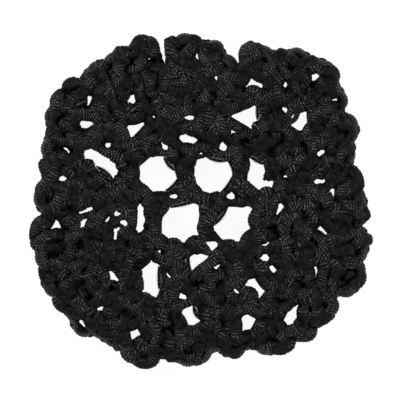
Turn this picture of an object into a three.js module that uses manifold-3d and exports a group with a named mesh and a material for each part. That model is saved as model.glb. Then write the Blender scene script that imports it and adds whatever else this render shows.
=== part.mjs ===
// Hair net for a bun, crocheted from flat knitted yarn. It lies flat with its crown up and its mouth down.
// Millimetres, +Z up. The origin is on the surface that the net lies on, under the middle of the crown.
import * as THREE from 'three';
import { mergeVertices } from 'three/addons/utils/BufferGeometryUtils.js';
import Module from 'manifold-3d';

const wasm = await Module();
wasm.setup();

// Driving dimensions
const yarnLayer = 4.2; // thickness of one layer of chain stitches, at its knots
const barHalf = 2.2; // half the width of a bar of chain stitches between two openings
const thinShare = 0.42; // thickness at the rim of an opening, as a share of the full layer
const crownHeight = 14.2; // middle of the crown's layer above the surface, at the centre
const edgeHeight = 9.2; // middle of the crown's layer at the scalloped edge
const edgeGap = 0.4; // clear space between the crown and the part that turns under
const edgeRoundness = 4; // how late the crown turns down: a higher power keeps it flat for longer
const edgeWave = 0.6; // height of the soft waves along the edge
const edgeWaves = 9; // number of those waves
const underHeight = 2.5; // middle of the lower layer above the surface
const underInset = 1.0; // how far the turned-under layer stays inside the scalloped edge
const rimWidth = 3.8; // the dense last round, measured across
const rimHeight = 3.4;
const rimRounding = 0.9;
const rimGap = 0.3; // clear space between the rim, the elastic and the net
const elasticThickness = 1.5;
const elasticRounding = 0.45;
const gatherDepth = 0.5; // how far the gathers of the rim go in and out

const yarnBlack = 0x17181a;
const yarnRoughness = 0.8;
const elasticBlack = 0x1d1d1f;
const elasticRoughness = 0.6;

// Openings of the crown that show daylight: middle, length, width and turn of each, seen from above
const openings = [
  { x: -5.5, y: -6.0, long: 12.5, wide: 9.0, turn: 35 },
  { x: 3.5, y: 7.5, long: 11.5, wide: 9.5, turn: 165 },
  { x: -12.5, y: 8.0, long: 10.5, wide: 9.5, turn: 150 },
  { x: 10.0, y: -6.5, long: 12.5, wide: 8.5, turn: 45 },
  { x: -14.5, y: -22.5, long: 9.5, wide: 4.5, turn: 95 },
  { x: 17.0, y: 7.0, long: 9.5, wide: 5.0, turn: 110 },
  { x: -28.5, y: 11.5, long: 13.0, wide: 3.0, turn: 135 },
  { x: 13.5, y: 25.0, long: 7.5, wide: 4.5, turn: 20 },
  { x: -3.0, y: -33.5, long: 6.0, wide: 3.5, turn: 125 },
  { x: 14.0, y: -35.5, long: 5.5, wide: 3.5, turn: 55 },
  { x: -1.0, y: -17.0, long: 6.5, wide: 3.5, turn: 20 },
  { x: -17.5, y: -5.0, long: 9.0, wide: 2.0, turn: 90 },
  { x: 16.0, y: -24.5, long: 6.5, wide: 3.0, turn: 130 },
  { x: -19.0, y: 21.0, long: 5.5, wide: 3.0, turn: 30 },
  { x: -3.5, y: 18.0, long: 6.5, wide: 2.5, turn: 165 },
  { x: 29.0, y: 23.5, long: 6.0, wide: 3.0, turn: 55 },
  { x: 26.5, y: -33.5, long: 5.5, wide: 2.5, turn: 65 },
  { x: -33.0, y: 22.5, long: 4.0, wide: 2.5, turn: 175 },
  { x: 3.0, y: -12.5, long: 3.5, wide: 2.5, turn: 135 },
  { x: 16.0, y: 34.0, long: 5.0, wide: 2.0, turn: 170 },
  { x: -18.5, y: -38.0, long: 4.0, wide: 2.0, turn: 20 },
  { x: -34.0, y: -2.0, long: 4.5, wide: 2.0, turn: 10 },
  { x: -19.0, y: 29.5, long: 3.0, wide: 2.0, turn: 80 },
  { x: 23.0, y: -2.0, long: 3.5, wide: 1.5, turn: 75 },
  { x: 9.0, y: 1.5, long: 2.5, wide: 2.0, turn: 40 },
  { x: -7.0, y: 2.0, long: 4.0, wide: 1.5, turn: 25 },
  { x: 6.5, y: 15.5, long: 2.5, wide: 2.0, turn: 135 },
  { x: -5.0, y: -27.5, long: 3.0, wide: 1.5, turn: 145 },
  { x: 34.5, y: 5.5, long: 3.5, wide: 1.5, turn: 15 },
  { x: -3.0, y: 24.0, long: 2.5, wide: 2.0, turn: 150 },
  { x: 35.0, y: 14.0, long: 3.0, wide: 1.5, turn: 35 },
  { x: -40.0, y: 7.0, long: 3.5, wide: 1.5, turn: 5 },
  { x: -42.0, y: -7.0, long: 3.0, wide: 1.5, turn: 45 },
  { x: -25.0, y: -22.0, long: 4.5, wide: 1.0, turn: 130 },
  { x: -26.5, y: 16.0, long: 2.0, wide: 1.5, turn: 20 },
  { x: -9.5, y: -21.5, long: 2.5, wide: 1.0, turn: 135 },
  { x: -29.0, y: -31.5, long: 2.5, wide: 1.0, turn: 175 },
];

// Loops of the scalloped edge, counter-clockwise from +X: where each points, how far it reaches and the dip after
// it. The two deep dips are the wedge and the slit between the loops at the top.
const edgeLoops = [
  { at: -1.5, reach: 49.5, dip: 46.0 },
  { at: 26.0, reach: 51.5, dip: 50.0 },
  { at: 38.0, reach: 53.5, dip: 53.5 },
  { at: 46.0, reach: 55.0, dip: 54.0 },
  { at: 54.0, reach: 54.0, dip: 50.5 },
  { at: 67.0, reach: 50.0, dip: 41.5 },
  { at: 85.5, reach: 47.0, dip: 47.0 },
  { at: 95.5, reach: 49.5, dip: 42.0 },
  { at: 110.0, reach: 51.0, dip: 50.0 },
  { at: 119.5, reach: 51.0, dip: 50.0 },
  { at: 129.0, reach: 51.5, dip: 50.0 },
  { at: 142.5, reach: 53.5, dip: 52.0 },
  { at: 150.0, reach: 52.5, dip: 49.0 },
  { at: 160.5, reach: 49.0, dip: 48.0 },
  { at: 168.5, reach: 48.5, dip: 47.5 },
  { at: 178.0, reach: 48.5, dip: 47.0 },
  { at: 191.5, reach: 51.0, dip: 50.0 },
  { at: 200.0, reach: 51.5, dip: 51.0 },
  { at: 208.5, reach: 53.0, dip: 51.5 },
  { at: 219.5, reach: 52.0, dip: 51.5 },
  { at: 226.5, reach: 53.0, dip: 50.5 },
  { at: 235.5, reach: 50.5, dip: 49.0 },
  { at: 248.5, reach: 51.5, dip: 48.0 },
  { at: 265.5, reach: 48.5, dip: 44.0 },
  { at: 282.5, reach: 47.0, dip: 45.5 },
  { at: 297.0, reach: 50.5, dip: 50.0 },
  { at: 311.0, reach: 51.5, dip: 50.5 },
  { at: 319.0, reach: 52.0, dip: 49.0 },
  { at: 332.5, reach: 54.0, dip: 50.0 },
  { at: 344.0, reach: 52.0, dip: 49.0 },
];
const loopShoulder = 0.26; // the shoulders of a loop, as a share of the angle to its neighbour
const shoulderDrop = 0.12; // and how far they lie below its top, as a share of its height over the dip
const loopEye = 5.4; // from the top of a loop in to the small eye in its middle

// The elastic's way round the mouth: direction and distance from the middle
const rimWay = [
  { at: 9, reach: 31.2 },
  { at: 38, reach: 31.4 },
  { at: 63, reach: 34.0 },
  { at: 95, reach: 32.8 },
  { at: 123, reach: 31.4 },
  { at: 143, reach: 35.4 },
  { at: 155, reach: 39.0 },
  { at: 172, reach: 37.0 },
  { at: 190, reach: 37.4 },
  { at: 215, reach: 36.8 },
  { at: 241, reach: 34.4 },
  { at: 267, reach: 38.4 },
  { at: 291, reach: 33.0 },
  { at: 304, reach: 35.2 },
  { at: 325, reach: 33.6 },
  { at: 347, reach: 32.4 },
];
const rimPoints = 60; // points round the rim, every other one pulled in by a gather

// Small eyelets fill the net between the openings, in rounds that follow the edge
const eyelet = { size: 3.0, wall: 2.4, pitch: 7.7 };
const eyeletRounds = [0.76, 0.62, 0.48, 0.34]; // each as a share of the reach of the edge
const triesPerPitch = 3; // places looked at along a round for each eyelet that it could hold
const underRound = { share: 0.87, size: 2.2, wall: 1.7, pitch: 8.0 };
const outsideDisc = 1.5; // discs that stand for the space outside the net, one at each dip of the edge
const insideDiscs = 24; // and for the mouth, in a ring just inside the rim

// Corners of an opening's outline, more of them where it is longer
const outlineCorners = [
  { longerThan: 7.0, corners: 12 },
  { longerThan: 3.5, corners: 8 },
  { longerThan: 0.0, corners: 6 },
];
const weldDistance = 1e-5; // corners of a solid nearer than this are one corner
const leastArea = 1e-6; // three discs whose middles span less than this lie in line and share no knot

const radians = THREE.MathUtils.degToRad;

function polar(at, reach) {
  return new THREE.Vector2(reach * Math.cos(radians(at)), reach * Math.sin(radians(at)));
}

// Edge seen from above: four points for each loop, its two shoulders, its top and the dip after it
function edgePoints(inset) {
  const points = [];
  edgeLoops.forEach((loop, i) => {
    const before = edgeLoops[(i + edgeLoops.length - 1) % edgeLoops.length];
    const after = edgeLoops[(i + 1) % edgeLoops.length];
    const toBefore = (loop.at - before.at + 360) % 360;
    const toAfter = (after.at - loop.at + 360) % 360;
    const low = loop.reach - shoulderDrop * (loop.reach - before.dip);
    const high = loop.reach - shoulderDrop * (loop.reach - loop.dip);
    points.push(polar(loop.at - loopShoulder * toBefore, low - inset));
    points.push(polar(loop.at, loop.reach - inset));
    points.push(polar(loop.at + loopShoulder * toAfter, high - inset));
    points.push(polar(loop.at + toAfter / 2, loop.dip - inset));
  });
  return points;
}

// Distance from the middle to a closed outline in one direction, straight between its points
function reachOf(outline, angle) {
  const ray = new THREE.Vector2(Math.cos(angle), Math.sin(angle));
  for (let i = 0; i < outline.length; i += 1) {
    const a = outline[i];
    const b = outline[(i + 1) % outline.length];
    const sideA = ray.cross(a);
    const sideB = ray.cross(b);
    if (sideA <= 0 && sideB > 0) return ray.dot(a.clone().lerp(b, sideA / (sideA - sideB)));
  }
  return outline[0].length();
}

// Point of a closed outline that lies nearest to a place
function nearestOn(outline, x, y) {
  const place = new THREE.Vector3(x, y, 0);
  const side = new THREE.Line3();
  const found = { point: null, distance: Infinity };
  outline.forEach((corner, i) => {
    const next = outline[(i + 1) % outline.length];
    side.set(new THREE.Vector3(corner.x, corner.y, 0), new THREE.Vector3(next.x, next.y, 0));
    const point = side.closestPointToPoint(place, true, new THREE.Vector3());
    const distance = point.distanceTo(place);
    if (distance < found.distance) Object.assign(found, { point, distance });
  });
  return found;
}

function distanceTo(outline, x, y) {
  return nearestOn(outline, x, y).distance;
}

// Closed outline along the rim's way, set off sideways by a distance
function rimOutline(offset, gathers) {
  const way = new THREE.CatmullRomCurve3(
    rimWay.map((row) => new THREE.Vector3(...polar(row.at, row.reach).toArray(), 0)), true, 'centripetal');
  const points = [];
  for (let i = 0; i < rimPoints; i += 1) {
    const here = way.getPointAt(i / rimPoints);
    const along = way.getTangentAt(i / rimPoints);
    const out = offset + (i % 2 ? -gathers / 2 : gathers / 2);
    points.push(new THREE.Vector2(here.x + along.y * out, here.y - along.x * out));
  }
  return points;
}

// Outline of an opening: an ellipse, with more points the longer it is
function openingOutline(opening) {
  const curve = new THREE.EllipseCurve(
    opening.x, opening.y, opening.long / 2, opening.wide / 2, 0, 2 * Math.PI, true, radians(opening.turn));
  const { corners } = outlineCorners.find((row) => opening.long > row.longerThan);
  return curve.getPoints(corners).slice(0, corners);
}

// An opening as a row of discs of its width, set along its length
function discsOf(opening) {
  const turn = radians(opening.turn);
  const steps = Math.ceil((opening.long - opening.wide) / opening.wide - 0.01);
  const discs = [];
  for (let i = 0; i <= steps; i += 1) {
    const shift = steps ? (opening.long - opening.wide) * (i / steps - 0.5) : 0;
    discs.push({
      x: opening.x + shift * Math.cos(turn), y: opening.y + shift * Math.sin(turn), radius: opening.wide / 2,
    });
  }
  return discs;
}

// Shortest distance from a point to the rim of an opening
function clearOf(x, y, opening) {
  return Math.min(...discsOf(opening).map((disc) => Math.hypot(x - disc.x, y - disc.y) - disc.radius));
}

const edge = edgePoints(0);

// Places at even steps round the net, all at one share of the reach of its edge
function placesAround(share, pitch) {
  const count = Math.round((2 * Math.PI * edgeLoops[0].reach * share) / pitch) * triesPerPitch;
  return Array.from({ length: count }, (_, i) => {
    const angle = (2 * Math.PI * i) / count;
    return new THREE.Vector2(Math.cos(angle), Math.sin(angle)).multiplyScalar(share * reachOf(edge, angle));
  });
}

function roundHole({ x, y }, size) {
  return { x, y, long: size, wide: size, turn: 0 };
}

// Eyes of the edge loops, then eyelets round by round, each kept where it leaves full bars all round it
function crownEyelets() {
  const barsFit = ({ x, y }) => openings.every((o) => clearOf(x, y, o) > eyelet.wall + eyelet.size / 2);
  const found = edgeLoops.map((loop) => polar(loop.at, loop.reach - loopEye)).filter(barsFit);
  for (const share of eyeletRounds) {
    for (const place of placesAround(share, eyelet.pitch)) {
      const evenPitch = found.every((other) => place.distanceTo(other) > eyelet.pitch);
      if (evenPitch && barsFit(place)) found.push(place);
    }
  }
  return found.map((place) => roundHole(place, eyelet.size));
}

// Point that lies equally far outside three discs, each widened by half a bar: there a knot ties three bars
function knotBetween(a, b, c) {
  const right = (p, q) => (q.x * q.x + q.y * q.y - q.weight - p.x * p.x - p.y * p.y + p.weight) / 2;
  const e = right(a, b);
  const f = right(a, c);
  const det = (b.x - a.x) * (c.y - a.y) - (b.y - a.y) * (c.x - a.x);
  const x = (e * (c.y - a.y) - f * (b.y - a.y)) / det;
  const y = (f * (b.x - a.x) - e * (c.x - a.x)) / det;
  return Math.abs(det) > leastArea ? { x, y, power: (x - a.x) ** 2 + (y - a.y) ** 2 - a.weight } : null;
}

// All knots of the net between discs, and its bars: each bar runs between the two knots that share its two
// discs, from the knot that has the first disc on its left
function knotsAndBars(discs) {
  const knots = [];
  const bars = new Map();
  const power = (p, d) => (p.x - d.x) ** 2 + (p.y - d.y) ** 2 - d.weight;
  for (let i = 0; i < discs.length; i += 1) {
    for (let j = i + 1; j < discs.length; j += 1) {
      for (let k = j + 1; k < discs.length; k += 1) {
        const knot = knotBetween(discs[i], discs[j], discs[k]);
        const three = (n) => n === i || n === j || n === k;
        if (!knot || !discs.every((d, n) => three(n) || power(knot, d) > knot.power)) continue;
        for (const [m, n] of [[i, j], [j, k], [i, k]]) {
          const key = m * discs.length + n;
          if (!bars.has(key)) bars.set(key, { between: [m, n], knots: [] });
          bars.get(key).knots.push(knots.length);
        }
        knots.push(knot);
      }
    }
  }
  const whole = [...bars.values()].filter((bar) => bar.knots.length === 2);
  for (const bar of whole) {
    const [a, b] = bar.knots.map((n) => knots[n]);
    const first = discs[bar.between[0]];
    if ((b.x - a.x) * (first.y - a.y) - (b.y - a.y) * (first.x - a.x) < 0) bar.knots.reverse();
  }
  return { knots, bars: whole };
}

function side(disc, hole) {
  return { ...disc, weight: (disc.radius + barHalf) ** 2, hole };
}

const OUTSIDE = -1;
const MOUTH = -2;
const DOWN = -1;
const UP = 1;

// Closed loop of knots round everything for which inside() holds, with the middle of each bar between them
function loopAround(net, discs, inside) {
  const next = new Map();
  for (const bar of net.bars) {
    const [first, second] = bar.between.map((n) => inside(discs[n].hole));
    if (first === second) continue;
    const [from, to] = first ? bar.knots : [...bar.knots].reverse();
    next.set(from, { to, middle: bar.middle });
  }
  const points = [];
  const start = next.keys().next().value;
  let at = start;
  do {
    const step = next.get(at);
    points.push(new THREE.Vector2(net.knots[at].x, net.knots[at].y), step.middle.clone());
    at = step.to;
  } while (at !== start);
  return points;
}

// A solid with a top and an underside that follow the form, between an outline and one hole in it
function netCell(outline, hole, form) {
  const shape = new THREE.Shape(outline);
  shape.holes = [new THREE.Path(hole)];
  const geometry = new THREE.ExtrudeGeometry(shape, { depth: 1, bevelEnabled: false });
  geometry.deleteAttribute('normal');
  geometry.deleteAttribute('uv');
  const merged = mergeVertices(geometry, weldDistance);
  const place = merged.getAttribute('position');
  for (let i = 0; i < place.count; i += 1) {
    const { middle, half } = form(place.getX(i), place.getY(i));
    place.setZ(i, place.getZ(i) > 0.5 ? middle + half : middle - half);
  }
  const vertProperties = Float32Array.from(place.array);
  const triVerts = Uint32Array.from(merged.index.array);
  const mesh = new wasm.Mesh({ numProp: 3, vertProperties, triVerts });
  return new wasm.Manifold(mesh);
}

function geometryOf(solid) {
  const { vertProperties, triVerts } = solid.getMesh();
  const geometry = new THREE.BufferGeometry();
  geometry.setAttribute('position', new THREE.BufferAttribute(Float32Array.from(vertProperties), 3));
  geometry.setIndex(new THREE.BufferAttribute(Uint32Array.from(triVerts), 1));
  geometry.computeVertexNormals();
  return geometry;
}

function wave(share, angle) {
  return (edgeWave / 2) * share ** edgeRoundness * Math.cos(edgeWaves * angle);
}

function crownLayer(share, angle) {
  return crownHeight - (crownHeight - edgeHeight) * share ** edgeRoundness + wave(share, angle);
}

function underLayer(share, angle) {
  const edgeUnder = edgeHeight - yarnLayer - edgeGap;
  return underHeight + (edgeUnder - underHeight) * share ** (2 * edgeRoundness) + wave(share, angle) * share;
}

// Share of a bar's full thickness at a distance from the rim of an opening or from an outline
function swellAt(clear) {
  return Math.sin((Math.min(1, Math.max(0, clear) / barHalf) * Math.PI) / 2);
}

// Net between holes: its knots and bars, each hole's cell and the bands along its outer and inner outlines.
// At the outer outline it bends the way that turn says, so that the two layers nearly meet there.
function netSolid(holes, outer, outerRidge, layer, turn, inner, innerRidge) {
  const discs = holes.flatMap((hole, n) => discsOf(hole).map((disc) => side(disc, n)));
  edgeLoops.forEach((loop, i) => {
    const after = edgeLoops[(i + 1) % edgeLoops.length];
    const at = loop.at + ((after.at - loop.at + 360) % 360) / 2;
    discs.push(side({ ...polar(at, loop.dip + outsideDisc), radius: outsideDisc }, OUTSIDE));
  });
  for (let i = 0; inner && i < insideDiscs; i += 1) {
    const angle = (2 * Math.PI * i) / insideDiscs;
    const reach = reachOf(inner, angle) - barHalf;
    discs.push(side({ x: reach * Math.cos(angle), y: reach * Math.sin(angle), radius: barHalf }, MOUTH));
  }
  const net = knotsAndBars(discs);
  const pull = (place, ridge) => {
    const { point } = nearestOn(ridge, place.x, place.y);
    place.x = point.x;
    place.y = point.y;
  };
  const ridgeOf = (hole) => (hole === OUTSIDE ? outerRidge : innerRidge);
  const pulled = new Set();
  for (const bar of net.bars) {
    const sides = bar.between.map((n) => discs[n].hole);
    const open = sides.find((hole) => hole < 0);
    if (open === undefined || sides[0] === sides[1]) continue;
    for (const n of bar.knots) {
      if (!pulled.has(n)) pull(net.knots[n], ridgeOf(open));
      pulled.add(n);
    }
  }
  for (const bar of net.bars) {
    const [a, b] = bar.knots.map((n) => net.knots[n]);
    bar.middle = new THREE.Vector2((a.x + b.x) / 2, (a.y + b.y) / 2);
    const sides = bar.between.map((n) => discs[n].hole);
    const open = sides.find((hole) => hole < 0);
    if (open !== undefined && sides[0] !== sides[1]) pull(bar.middle, ridgeOf(open));
  }
  const form = (x, y) => {
    const toRims = holes.map((hole) => clearOf(x, y, hole));
    const toEdge = distanceTo(outer, x, y);
    const toMouth = inner ? distanceTo(inner, x, y) : Infinity;
    const angle = Math.atan2(y, x);
    const share = Math.min(1, Math.hypot(x, y) / reachOf(outer, angle));
    const thinning = (yarnLayer / 2) * (1 - thinShare);
    return {
      middle: layer(share, angle) + turn * thinning * (1 - swellAt(toEdge)),
      half: yarnLayer / 2 - thinning * (1 - swellAt(Math.min(toEdge, toMouth, ...toRims))),
    };
  };
  const around = (inside) => loopAround(net, discs, inside);
  const cells = holes.map((hole, n) => netCell(around((h) => h === n), openingOutline(hole), form));
  cells.push(netCell(outer, around((h) => h !== OUTSIDE), form));
  if (inner) cells.push(netCell(around((h) => h === MOUTH), inner, form));
  return geometryOf(cells.reduce((whole, cell) => whole.add(cell)));
}

function fabric(color, roughness) {
  return new THREE.MeshStandardMaterial({ color, roughness, metalness: 0 });
}

function named(name, geometry, material) {
  const mesh = new THREE.Mesh(geometry, material);
  mesh.name = name;
  return mesh;
}

function crownNet() {
  const holes = [...openings, ...crownEyelets()];
  const solid = netSolid(holes, edge, edgePoints(barHalf), crownLayer, DOWN);
  return named('crown_net', solid, fabric(yarnBlack, yarnRoughness));
}

// The turned-under rounds have their gaps below those of the crown, so that light passes through both
function underNet() {
  const outer = edgePoints(underInset);
  const inner = rimOutline(rimWidth / 2 + gatherDepth / 2 + rimGap, 0);
  const fits = (hole) => {
    const past = Math.hypot(hole.x, hole.y) > reachOf(inner, Math.atan2(hole.y, hole.x));
    const wall = (disc) => Math.min(distanceTo(inner, disc.x, disc.y), distanceTo(outer, disc.x, disc.y));
    return past && discsOf(hole).every((disc) => wall(disc) > disc.radius + underRound.wall);
  };
  const holes = openings.filter(fits);
  for (const place of placesAround(underRound.share, underRound.pitch)) {
    const hole = roundHole(place, underRound.size);
    const apart = holes.every((o) => clearOf(place.x, place.y, o) > underRound.pitch - underRound.size);
    if (apart && fits(hole)) holes.push(hole);
  }
  const ridge = edgePoints(underInset + barHalf);
  const innerRidge = rimOutline(rimWidth / 2 + gatherDepth / 2 + rimGap + underRound.wall / 2, 0);
  const solid = netSolid(holes, outer, ridge, underLayer, UP, inner, innerRidge);
  return named('under_net', solid, fabric(yarnBlack, yarnRoughness));
}

// Ring that follows the rim's way, with its edges rounded off
function ringSolid(width, height, rounding, gathers) {
  const shape = new THREE.Shape(rimOutline(width / 2, gathers));
  shape.holes = [new THREE.Path(rimOutline(-width / 2, gathers).reverse())];
  const geometry = new THREE.ExtrudeGeometry(shape, {
    depth: height - 2 * rounding, steps: 1, bevelEnabled: true, bevelSegments: 1,
    bevelThickness: rounding, bevelSize: rounding, bevelOffset: -rounding,
  });
  geometry.translate(0, 0, rounding);
  return geometry;
}

function rimBand() {
  const geometry = ringSolid(rimWidth, rimHeight, rimRounding, gatherDepth);
  return named('rim_band', geometry, fabric(yarnBlack, yarnRoughness));
}

function rimElastic() {
  const geometry = ringSolid(elasticThickness, elasticThickness, elasticRounding, 0);
  geometry.translate(0, 0, rimHeight + rimGap);
  return named('rim_elastic', geometry, fabric(elasticBlack, elasticRoughness));
}

const hairNet = new THREE.Group();
hairNet.name = 'hair_net';
hairNet.add(crownNet(), underNet(), rimBand(), rimElastic());

export default hairNet;
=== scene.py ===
# %% [markdown]
# # A crocheted hair net
#
# This lesson dresses a hair net for a bun, crocheted from one knitted ribbon. Its hundreds of strands could
# be placed by hand, but here only the openings and the edge are charted. Knots and bars follow from them, and
# ribbon is laid along every bar.

# %% Load the frame
from itertools import combinations

import bpy
import numpy as np
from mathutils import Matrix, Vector


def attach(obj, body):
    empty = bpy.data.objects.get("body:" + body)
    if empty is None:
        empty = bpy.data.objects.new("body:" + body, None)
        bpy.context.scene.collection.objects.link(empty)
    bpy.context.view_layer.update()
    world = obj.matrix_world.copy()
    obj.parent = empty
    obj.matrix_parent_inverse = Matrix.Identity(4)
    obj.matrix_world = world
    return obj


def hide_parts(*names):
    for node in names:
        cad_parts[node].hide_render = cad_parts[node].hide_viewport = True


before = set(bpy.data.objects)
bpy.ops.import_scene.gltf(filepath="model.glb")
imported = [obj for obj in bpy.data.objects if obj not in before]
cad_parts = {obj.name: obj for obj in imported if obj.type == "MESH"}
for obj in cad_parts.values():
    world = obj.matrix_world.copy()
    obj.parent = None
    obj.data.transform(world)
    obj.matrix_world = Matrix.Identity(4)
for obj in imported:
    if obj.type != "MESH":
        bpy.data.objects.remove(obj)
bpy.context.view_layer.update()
MM = 0.001
scene = bpy.context.scene

# %% [markdown]
# ## Camera, table and light
#
# The net lies on a white light table, seen straight from above. A near camera would look at the outer
# openings aslant, so a long lens looks from far away. The table glows a little to stay white, and soft boxes
# bring out the relief.

# %% Colour and node helpers
def linear(hex_colour):
    """An sRGB hex colour as the linear red, green, blue and alpha of a shader socket."""
    channels = np.array([int(hex_colour[i:i + 2], 16) / 255 for i in (1, 3, 5)])
    low, high = channels / 12.92, ((channels + 0.055) / 1.055) ** 2.4
    return (*np.where(channels <= 0.04045, low, high), 1.0)


def add(tree, kind, inputs=None, **settings):
    """Adds one node with its properties as settings and its inputs by name or number, each with a value or
    with the output that feeds it. Gives the node's outputs."""
    node = tree.nodes.new(kind)
    for name, value in settings.items():
        setattr(node, name, value)
    for name, value in (inputs or {}).items():
        if isinstance(value, bpy.types.NodeSocket):
            tree.links.new(value, node.inputs[name])
        else:
            node.inputs[name].default_value = value
    return node.outputs


def put(name, data):
    """Puts one new object into the scene."""
    thing = bpy.data.objects.new(name, data)
    scene.collection.objects.link(thing)
    return thing


def new_material(name):
    """Makes an empty node material and gives it with its tree."""
    material = bpy.data.materials.new(name)
    material.use_nodes = True
    material.node_tree.nodes.clear()
    return material, material.node_tree


print("middle grey is", round(linear("#808080")[0], 3), "in linear light")

# %% Camera
PHOTO_WIDTH_MM = 116.0  # what the 400 pixels of the photo span at 0.29 mm each
CAMERA_HEIGHT = 1.6  # metres, far enough for a nearly parallel view
CAMERA_SHIFT = 0.0002  # metres from the middle of the net up to that of the photo
FAR_CLIP = 10  # metres
SENSOR = 36.0  # millimetres
MIDDLE_HEIGHT = 0.011  # metres, the height that the framing is worked out for

camera_data = bpy.data.cameras.new("camera")
camera_data.sensor_width = SENSOR
camera_data.lens = SENSOR * (CAMERA_HEIGHT - MIDDLE_HEIGHT) / (PHOTO_WIDTH_MM * MM)
camera_data.clip_end = FAR_CLIP
camera = put("camera", camera_data)
camera.location = (0.0, CAMERA_SHIFT, CAMERA_HEIGHT)
scene.camera = camera
print("lens", round(camera_data.lens), "mm")

# %% Table
TABLE_HALF = 3.0  # metres
TABLE_GLOW = 0.93

table_material, tree = new_material("light_table_acrylic")
glow = add(tree, "ShaderNodeEmission", {"Color": linear("#ffffff"), "Strength": TABLE_GLOW})
matt = add(tree, "ShaderNodeBsdfDiffuse", {"Color": linear("#7a7a7a")})
both = add(tree, "ShaderNodeAddShader", {0: glow[0], 1: matt[0]})
add(tree, "ShaderNodeOutputMaterial", {"Surface": both[0]})

table_mesh = bpy.data.meshes.new("light_table")
corners = [(x * TABLE_HALF, y * TABLE_HALF, 0) for x, y in ((-1, -1), (1, -1), (1, 1), (-1, 1))]
table_mesh.from_pydata(corners, [], [(0, 1, 2, 3)])
table_mesh.materials.append(table_material)
light_table = put("light_table", table_mesh)
print("table", 2 * TABLE_HALF, "m across")

# %% Light
WORLD_STRENGTH = 0.10
SOFTBOXES = [
    # name, place and size in metres, watts
    ("left_softbox", (-0.50, 0.35, 0.55), 0.35, 3.2),
    ("right_softbox", (0.55, 0.10, 0.50), 0.30, 1.8),
    ("front_softbox", (0.05, -0.60, 0.60), 0.30, 1.5),
]

scene.world = bpy.data.worlds.new("studio")
scene.world.use_nodes = True
background = scene.world.node_tree.nodes["Background"].inputs
background["Color"].default_value = linear("#ffffff")
background["Strength"].default_value = WORLD_STRENGTH
scene.view_settings.view_transform = "Standard"

for name, place, size, watts in SOFTBOXES:
    lamp = bpy.data.lights.new(name, "AREA")
    lamp.size = size
    lamp.energy = watts
    softbox = put(name, lamp)
    softbox.location = place
    softbox.rotation_mode = "QUATERNION"
    softbox.rotation_quaternion = Vector([-v for v in place]).to_track_quat("-Z", "Y")
print(len(SOFTBOXES), "soft boxes and a sky of strength", WORLD_STRENGTH)

# %% [markdown]
# ## Where the openings are
#
# An opening is what the hook left between the chains, pulled out of shape as the net was laid down. A
# regular pattern would look machine-made, so the openings are charted from above, in millimetres and degrees:
# large ones by their corners, small ones as slots. Most slots, and many of the edge's loops, are what a
# program measured in the photo, rounded to a half. Placing them by eye would be the cleaner way.

# %% Chart of the large openings
LARGE_OPENINGS = [
    # x, y, bow and lace of each corner, counter-clockwise. The side to the next corner bulges into the
    # opening by the bow, and is lacy where lace is 1. Both are 0 where they are left out.
    [(0, -2), (-1.5, -0.5, 0.5, 1), (-8.5, -2), (-11.5, -6.5), (-11, -9), (-9, -10.5, 1), (-4.5, -12.5, 0.5),
     (-0.5, -9.5, 0.5)],
    [(9.5, 7.5, 0, 1), (8, 11.5, 1, 1), (2, 12.5), (-1, 11.5), (-1.5, 5.5, 0.5), (1.5, 2, 0.5),
     (6, 2.5, 0, 1)],
    [(-6.5, 6.5), (-7, 8.5, 1, 1), (-10.5, 12.5), (-14, 12.5), (-17.5, 9.5), (-17.5, 5.5, 0.5),
     (-14, 2.5, 0.5), (-10, 3, 0, 1)],
    [(15.5, -2), (8, -2, 1, 1), (3.5, -7.5), (6.5, -11, 1), (11.5, -12.5, 1), (14.5, -8.5, 1.5)],
    [(-12, -19), (-14, -18), (-17, -20.5, 0.5), (-16, -26, 0.5), (-13, -28.5), (-12, -25.5, 0.5, 1)],
    [(21, 5.5, 2), (18.5, 8.5), (18, 10.5, 0.5, 1), (14.5, 12.5), (14, 5.5), (17, 3, 0.5), (20.5, 4)],
    [(-24, 9), (-25.5, 11.5, 0.5), (-31.5, 15.5), (-33.5, 14.5), (-33, 12.5, 1), (-30, 10, 1, 1), (-25, 6)],
    [(16.5, 28, 0.5), (8.5, 25), (14.5, 21.5, 0.5), (16.5, 23.5, 0.5, 1)],
    [(0, -34.5, 1, 1), (-2, -30.5), (-5.5, -32, 0.5), (-3, -36.5)],
    [(16, -33.5, 0.5), (14, -32.5), (12, -34.5, 0.5), (11.5, -38.5, 0.5), (15, -37)],
    [(3, -16.5), (-0.5, -15.5), (-3, -16, 0, 1), (-2.5, -20, 0.5)],
    [(-16, -2), (-17.5, -1), (-18.5, -2, 0.5), (-18.5, -9), (-16.5, -8.5)],
    [(18.5, -26), (16, -22.5), (14, -22.5), (13.5, -24.5, 1), (17, -28)],
    [(-17, 23, 0.5), (-21.5, 21.5), (-20, 18.5), (-16.5, 22)],
    [(-0.5, 18, 0.5), (-5, 19.5), (-6, 17.5), (-2, 16.5)],
    [(31, 26.5), (29, 25, 1.5), (24, 22), (29.5, 20.5), (31, 23, 0.5)],
    [(28.5, -30.5), (26, -32), (24.5, -35), (26, -36.5), (28, -34, 0.5)],
    [(-30.5, 23, 0.5), (-33, 23.5), (-35, 23), (-34, 21.5), (-32, 21)],
    [(5, -12, 0.5), (1, -11), (4, -15)],
    [(18.5, 34, 1), (15, 36), (14, 33.5), (18, 33)],
    [(-16, -38.5, 0.5), (-18, -37), (-20.5, -38), (-19.5, -40, 0.5)],
    [(-5, 3, 0.5), (-9, 1.5), (-7.5, 0.5)],
]
print(len(LARGE_OPENINGS), "large openings with", sum(len(corners) for corners in LARGE_OPENINGS), "corners")

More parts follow.
